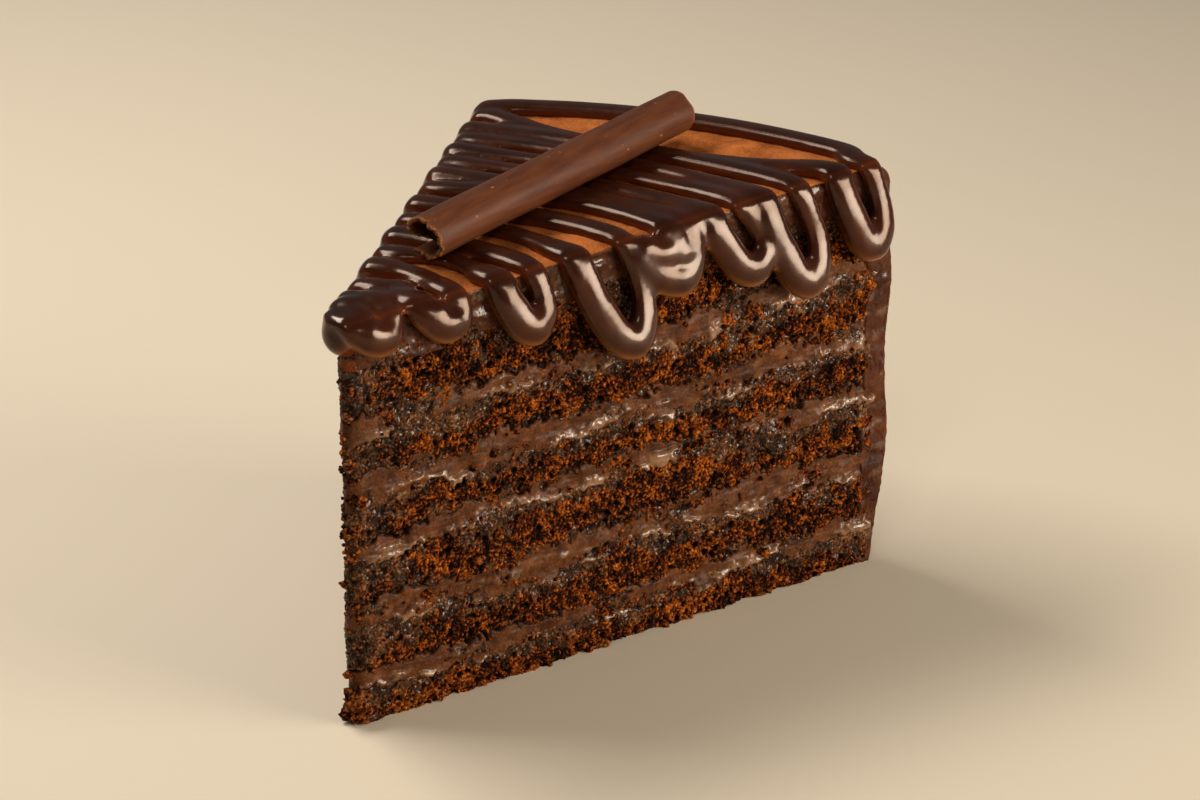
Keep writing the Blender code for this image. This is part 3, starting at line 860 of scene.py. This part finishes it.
def loopKnots(loop, side):
    # x, y and width down one arm, round the lowest point and up the other, narrower arm
    start, lowest, drop, end = loop
    swell = ganache["bulb"]
    reach = lowest - start
    knots = [
        (start - 0.5, -4.0, 1.0), (start + 0.1 * reach, 0.12 * drop + 1.0, 1.05),
        (start + 0.35 * reach, 0.55 * drop, 1.1), (start + 0.68 * reach, 0.9 * drop, swell),
        (lowest, drop, swell), (lowest + 2.6, drop * 0.84, 1.0),
        (lowest + 3.2, drop * 0.58, 0.82), (0.5 * (lowest + 3.2 + end), drop * 0.27, 0.78),
        (end, 0.4, 0.82), (end - 0.6, -4.0, 0.95),
    ]
    return unfoldedKnots(knots, side)


def crossingKnots(start, end, dice, last=False):
    # over the top from one edge to the other, bowed towards the rim, or the last one towards the tip
    bow = ganache["lastBow"] if last else ganache["bow"] + dice.uniform(*ganache["bowSpread"])
    width = dice.uniform(*ganache["passWidths"])
    return [(start[0] + (end[0] - start[0]) * share + bow * 4 * share * (1 - share),
             start[1] + (end[1] - start[1]) * share, width) for share in (0.2, 0.5, 0.8)]


def zigzagKnots():
    # near and far loops by turns, with a pass over the top between them, and then along the rim
    dice = np.random.default_rng(5)
    knots = list(ganache["start"])
    for index, near in enumerate(ganache["nearLoops"]):
        loop = loopKnots(near, -1)
        if index:
            knots += crossingKnots(knots[-1], loop[0], dice, index == len(ganache["nearLoops"]) - 1)
        knots += loop
        if index < len(ganache["farLoops"]):
            loop = loopKnots(ganache["farLoops"][index], 1)
            knots += crossingKnots(knots[-1], loop[0], dice) + loop
    rim = rimPlan(np.linspace(*ganache["rimRun"], 7), ganache["rimInset"])
    knots += [(x, y, ganache["rimWidth"]) for x, y in rim]
    return knots + unfoldedKnots(ganache["farTail"], 1)


def strandGrid(knots):
    # an oval carried along the folded path: wide against the cake, thicker where it hangs
    line = throughPoints(knots, ganache["step"])
    centre, normal, beyond = foldOver(line[:, :2], ganache["lift"])
    width, hanging = line[:, 2], ease(0.0, 4.0, beyond)
    halfWide = (ganache["topWidth"] + (ganache["faceWidth"] - ganache["topWidth"]) * hanging) / 2 * width
    halfHigh = (ganache["topHeight"] + (ganache["faceHeight"] - ganache["topHeight"]) * hanging) / 2
    halfHigh = halfHigh * width**1.3
    across = unit(np.cross(unit(np.gradient(centre, axis=0)), normal))
    turn = np.linspace(0, 2 * np.pi, ganache["around"], endpoint=False)
    rise = np.sign(np.sin(turn)) * np.abs(np.sin(turn)) ** ganache["fullness"]
    return (centre[:, None] + across[:, None] * (halfWide[:, None] * np.cos(turn))[..., None]
            + normal[:, None] * (halfHigh[:, None] * rise)[..., None])


def joinPieces(name, pieces):
    bpy.ops.object.select_all(action="DESELECT")
    for piece in pieces:
        piece.select_set(True)
    bpy.context.view_layer.objects.active = pieces[0]
    bpy.ops.object.join()
    pieces[0].name = name
    return pieces[0]


def settle(piece):
    # works the modifiers into the mesh
    graph = bpy.context.evaluated_depsgraph_get()
    mesh = bpy.data.meshes.new_from_object(piece.evaluated_get(graph))
    piece.modifiers.clear()
    piece.data = mesh


def buildGanache(finish):
    # strands and lobes melted into one skin
    strands = [zigzagKnots()] + [unfoldedKnots(extra, -1) for extra in ganache["nearExtras"]]
    pieces = [gridPiece(f"strand_{number}", strandGrid(knots)) for number, knots in enumerate(strands)]
    piece = joinPieces("ganache_pour", pieces + tipLobes())
    skin = piece.modifiers.new("skin", "REMESH")
    skin.mode = "VOXEL"
    skin.voxel_size = ganache["voxel"] * 0.001
    soften = piece.modifiers.new("soften", "SMOOTH")
    soften.factor = 0.5
    soften.iterations = ganache["softening"]
    settle(piece)
    markSkin(piece)
    piece.data.shade_smooth()
    finishPiece(piece, finish, "drizzle", "drizzle")


def markSkin(piece):
    # flow ridges along the strands, and where the skin is thin, faces down (for a painted reflection), hangs
    # or is wet: most where it hangs and faces up, in patches
    flat = np.zeros(len(piece.data.vertices) * 3, np.float32)
    piece.data.vertices.foreach_get("co", flat)
    points = fromFrame(flat.reshape(-1, 3).astype(float))
    piece.data.vertices.foreach_get("normal", flat)
    normal = flat.reshape(-1, 3).astype(float)
    x, y, z = points.T
    height = z - topHeight(x)
    side = np.where(y < 0, -1.0, 1.0)
    beyond = -x * sinHalf + side * y * cosHalf
    onTop = ease(-1.0, 1.0, height)
    ridges = 0.6 * ripple(points * (1.0, 0.08, 1.0), 4.0, 91) * onTop
    ridges = ridges + ripple(points * (1.0, 1.0, 0.2), 3.6, 92) * (1 - onTop)
    points = points + normal * (ganache["ridges"] * ridges)[:, None]
    piece.data.vertices.foreach_set("co", inFrame(points).astype(np.float32).ravel())
    beforeNose = noseX - x
    away = np.maximum(np.maximum(height, beyond), beforeNose)
    hanging = ease(-0.5, 1.5, np.maximum(beyond, beforeNose + 1.5))
    facingUp = ease(-0.15, 0.15, normal[:, 2])
    patchy = ease(-0.3, 0.3, ripple(points, 6.0, 93))
    storeLooks(piece.data, {
        "thin": ease(2.3, 0.4, away),
        # where the hanging loops face down, for a painted reflection of the floor
        "under": ease(-0.15, -0.75, normal[:, 2]) * ease(0.5, 1.5, beyond),
        "wet": (0.05 + 0.27 * hanging * facingUp) * (0.45 + 0.7 * patchy),
        "hanging": hanging,
    })


def tipLobes():
    # where the pouring began, lobes run together over the nose
    ball = ballRings(14, 28, 0.12)
    return [gridPiece(f"lobe_{number}", ball * size + centre)
            for number, (centre, size) in enumerate(ganache["lobes"])]


def ganacheFinish():
    # near black chocolate, redder where it is thin, with a painted tan reflection of the floor on the
    # undersides of the loops; smoother where it hangs, under a clear coat where it is wet
    made = Finish("poured ganache", Specular_IOR_Level=0.34, Specular_Tint=(1.0, 0.68, 0.50, 1),
                  Coat_Roughness=0.14)
    thin, under, wet, hanging = made.painted("thin", "under", "wet", "hanging")
    patch = made.noise(9.0, 2.0)
    colour = made.ramp(patch, ganache["colours"])
    colour = made.mix(thin * 0.7, colour, ganache["thinColour"])
    # painted reflection: tan on the undersides
    colour = made.mix(under * 0.75, colour, ganache["underReflectionColour"])
    relief = made.noise(3.0, 2.0)
    return made.feed(Base_Color=colour, Roughness=0.19 - hanging * 0.06 + patch * 0.10, Coat_Weight=wet,
                     Normal=made.bump(relief, 0.10, 0.5))


# chocolate roll
rollShape = {
    "nearEnd": (34.1, 2.7),  # its broken end's and its far end's places in plan
    "farEnd": (125.1, -3.9),
    "radius": 5.55,
    "wall": 0.9,
    "turns": 1.7,
    "turnGap": 0.5,
    "outerEdge": np.radians(-50),  # where round the roll the sheet's outer edge lies
    "lieHeight": 7.4,  # axis above the frosting
    "breakDepth": 2.4,
    "breakSlant": 2.8,  # how much farther back it is broken underneath
    "innerBreak": 6.0,  # and in its inner turn
    "farBreak": 0.4,
    "bend": 0.10,  # unevenness of the sheet
    "along": 150,  # points along the roll, and round each skin of the sheet
    "round": 210,
    "colours": [(0.3, (0.080, 0.022, 0.008)), (0.7, (0.125, 0.038, 0.014))],
    "speckColour": (0.38, 0.17, 0.06),
    "brokenColours": [(0.35, (0.10, 0.03, 0.008)), (0.65, (0.32, 0.12, 0.035))],
}


def rollSkin(along, turn, out):
    # a spiral's radius grows from its inner end to its outer one; out is 1 on the outer skin, 0 on the inner
    total = 2 * np.pi * rollShape["turns"]
    pitch = rollShape["wall"] + rollShape["turnGap"]
    radius = rollShape["radius"] - pitch * (total - turn) / (2 * np.pi) - rollShape["wall"] * (1 - out)
    angle = turn - total + rollShape["outerEdge"]
    ends = [np.array([x, y, topHeight(x) + rollShape["lieHeight"]])
            for x, y in (rollShape["nearEnd"], rollShape["farEnd"])]
    length = np.linalg.norm(ends[1] - ends[0])
    axis = (ends[1] - ends[0]) / length
    aside = unit(np.cross([0, 0, 1], axis))
    upward = np.cross(axis, aside)
    onSheet = np.stack([along * 0.3, 4 * np.cos(angle), 4 * np.sin(angle)], -1)
    radius = radius + rollShape["bend"] * ripple(onSheet, 4.0, 75)
    spread = aside * (radius * np.cos(angle))[..., None] + upward * (radius * np.sin(angle))[..., None]
    return ends[0] + axis * along[..., None] + spread


def breakDepths(turn):
    # how far each place round the sheet is broken off at the near end, and at the far one
    circle = np.stack([np.cos(turn) * 3, np.sin(turn) * 3, turn * 0.6], -1)
    jag = ripple(circle, 1.6, 71) + 0.6 * ripple(circle, 0.6, 72) + 0.35 * ripple(circle, 0.25, 73)
    jag = (jag - jag.min()) / (jag.max() - jag.min()) * rollShape["breakDepth"]
    angle = turn - turn.max() + rollShape["outerEdge"]
    jag = jag + rollShape["breakSlant"] * (0.5 - 0.5 * np.sin(angle))
    jag = jag + rollShape["innerBreak"] * ease(0.52, 0.36, turn / turn.max())
    return jag, rollShape["farBreak"] * (1 + ripple(circle, 1.2, 74))


def buildRoll(finish):
    # both skins of the sheet, round from its inner edge to its outer one and back, from end to end
    turns = np.linspace(0, 2 * np.pi * rollShape["turns"], rollShape["round"])
    turn = np.concatenate([turns, turns[::-1]])
    out = np.concatenate([np.ones(len(turns)), np.zeros(len(turns))])
    length = np.hypot(*np.subtract(rollShape["farEnd"], rollShape["nearEnd"]))
    share = np.linspace(0, 1, rollShape["along"])[:, None]
    jag, farJag = breakDepths(turn)
    along = share * length + jag * np.exp(-share * length / 6.0)
    along = along - farJag * np.exp(-(1 - share) * length / 4.0)
    wide = along.shape
    grid = rollSkin(along, np.broadcast_to(turn, wide), np.broadcast_to(out, wide))
    broken = np.exp(-(along - jag) / 0.8) + np.exp(-(length - farJag - along) / 0.5)
    piece = bandPiece("chocolate_roll_sheet", grid, {"broken": np.clip(broken, 0, 1)})
    finishPiece(piece, finish, "roll", "chocolate_roll")


def bandPiece(name, grid, looks):
    # rows of closed thin loops, half one skin and half the other, with the ends closed between the skins
    rows, columns = grid.shape[:2]
    quads = [ringFaces(rows, columns)[0]]
    ring, half = np.arange(columns), columns // 2
    for row, order in ((0, 1), (rows - 1, -1)):
        one, two = row * columns + ring[:half], row * columns + ring[half:][::-1]
        quads.append(np.stack([one[:-1], two[:-1], two[1:], one[1:]], -1)[:, ::order])
    return meshFromFaces(name, grid.reshape(-1, 3), np.concatenate(quads), np.zeros((0, 3), int), looks)


def rollFinish():
    # satin chocolate with faint lengthwise streaks and dusty specks, rusty where it is broken
    made = Finish("rolled chocolate", Specular_IOR_Level=0.22)
    broken = made.painted("broken")[0]
    stretched = made.node("Mapping", Vector=made.place, Scale=(0.12, 1.0, 1.0))
    streak = made.node("TexNoise", Vector=stretched, Scale=700.0, Detail=4.0)
    speck = made.spread(0.755, 0.775, made.noise(1.2, 1.0))
    body = made.mix(speck * 0.7, made.ramp(streak, rollShape["colours"]), rollShape["speckColour"])
    torn = made.ramp(made.noise(0.6, 3.0), rollShape["brokenColours"])
    colour = made.mix(made.spread(0.35, 0.75, broken), body, torn)
    rough = 0.42 + streak * 0.1 + broken * 0.3
    relief = streak * 0.5 + made.noise(0.8, 3.0) * 0.5
    return made.feed(Base_Color=colour, Roughness=rough, Normal=made.bump(relief, 0.08, 0.5))


# studio
studio = {
    "viewTurn": np.radians(33.55),  # the camera looks along this direction in plan
    "viewDown": np.radians(22.8),
    "aim": (91.74, -4.97, 45.0),  # millimetres from the tip
    "distance": 787.5,
    "lens": 105.0,
    "floor": [(0.4, (0.79, 0.69, 0.54)), (0.6, (0.7742, 0.6762, 0.5292))],
    "sky": 0.13,
    "skyColour": (1.0, 0.97, 0.93, 1),
    "middle": (80.0, 0.0, 60.0),  # what the lights face
    # where each stands in metres from there, its size, watts, colour, and how wide it shines in degrees
    "lights": {
        "front": ((0.19, -0.80, 0.11), (0.62, 0.30), 2.35, (1.0, 0.90, 0.75), 90),
        "overhead": ((-0.06, 0.52, 0.70), (0.60, 0.28), 6.5, (1.0, 0.93, 0.85), 180),
        "fill": ((-0.7, -0.35, 0.75), (0.3, 0.3), 1.6, (1.0, 0.93, 0.82), 180),
    },
}


def addCamera():
    data = bpy.data.cameras.new("view")
    data.lens = studio["lens"]
    data.sensor_width = 36.0
    data.clip_end = 20.0
    camera = addObject("view", data)
    turn, down = studio["viewTurn"], studio["viewDown"]
    ahead = np.array([np.cos(turn) * np.cos(down), np.sin(turn) * np.cos(down), -np.sin(down)])
    aim = inFrame(np.array(studio["aim"]))
    camera.location = Vector(aim - ahead * studio["distance"] * 0.001)
    camera.rotation_euler = Vector(ahead).to_track_quat("-Z", "Y").to_euler()
    bpy.context.scene.camera = camera


def addLight(name, place, size, power, colour, spread):
    # a soft box
    data = bpy.data.lights.new(name, "AREA")
    data.shape = "RECTANGLE"
    data.size, data.size_y = size
    data.energy = power
    data.color = colour
    data.spread = np.radians(spread)
    light = addObject(name, data)
    middle = Vector(inFrame(np.array(studio["middle"])))
    light.location = middle + Vector(place)
    light.rotation_euler = (middle - light.location).to_track_quat("-Z", "Y").to_euler()


def addStudio():
    bpy.ops.mesh.primitive_plane_add(size=12.0, location=(0, 0, 0))
    floor = bpy.context.object
    floor.name = "floor"
    made = Finish("pale floor", Roughness=0.6, Specular_IOR_Level=0.2)
    floor.data.materials.append(made.feed(Base_Color=made.ramp(made.noise(400.0, 2.0), studio["floor"])))
    world = bpy.data.worlds.new("room")
    world.use_nodes = True
    background = world.node_tree.nodes["Background"]
    background.inputs["Color"].default_value = studio["skyColour"]
    background.inputs["Strength"].default_value = studio["sky"]
    bpy.context.scene.world = world
    for name, values in studio["lights"].items():
        addLight(name, *values)
    bpy.context.scene.view_settings.view_transform = "Standard"


buildLayers()
buildFrosting(frostingFinish())
buildGanache(ganacheFinish())
buildRoll(rollFinish())
addStudio()
addCamera()
print("slice is made")
